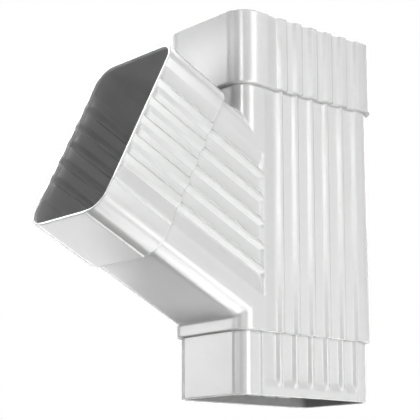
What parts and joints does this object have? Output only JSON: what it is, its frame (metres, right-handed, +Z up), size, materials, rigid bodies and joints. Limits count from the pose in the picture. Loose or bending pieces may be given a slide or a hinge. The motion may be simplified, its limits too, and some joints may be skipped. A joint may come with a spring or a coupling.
{
  "type": "downspout y branch",
  "caption": "Moulded PVC downspout Y branch with a fluted rounded-rectangular duct, a plain spigot below, a socket on top and a slanted side branch ending in a socket.",
  "frame": {"origin": "centre of the spigot's rim, on the axis of the upright duct", "axes": "+Z up the upright duct, -X the side that the branch leaves, +Y square to the wide fluted faces"},
  "size_m": [0.1526, 0.051, 0.161],
  "materials": {
    "white_pvc": "glossy moulded white PVC"
  },
  "bodies": {
    "root": {"y_branch": "white_pvc"}
  },
  "joints": []
}
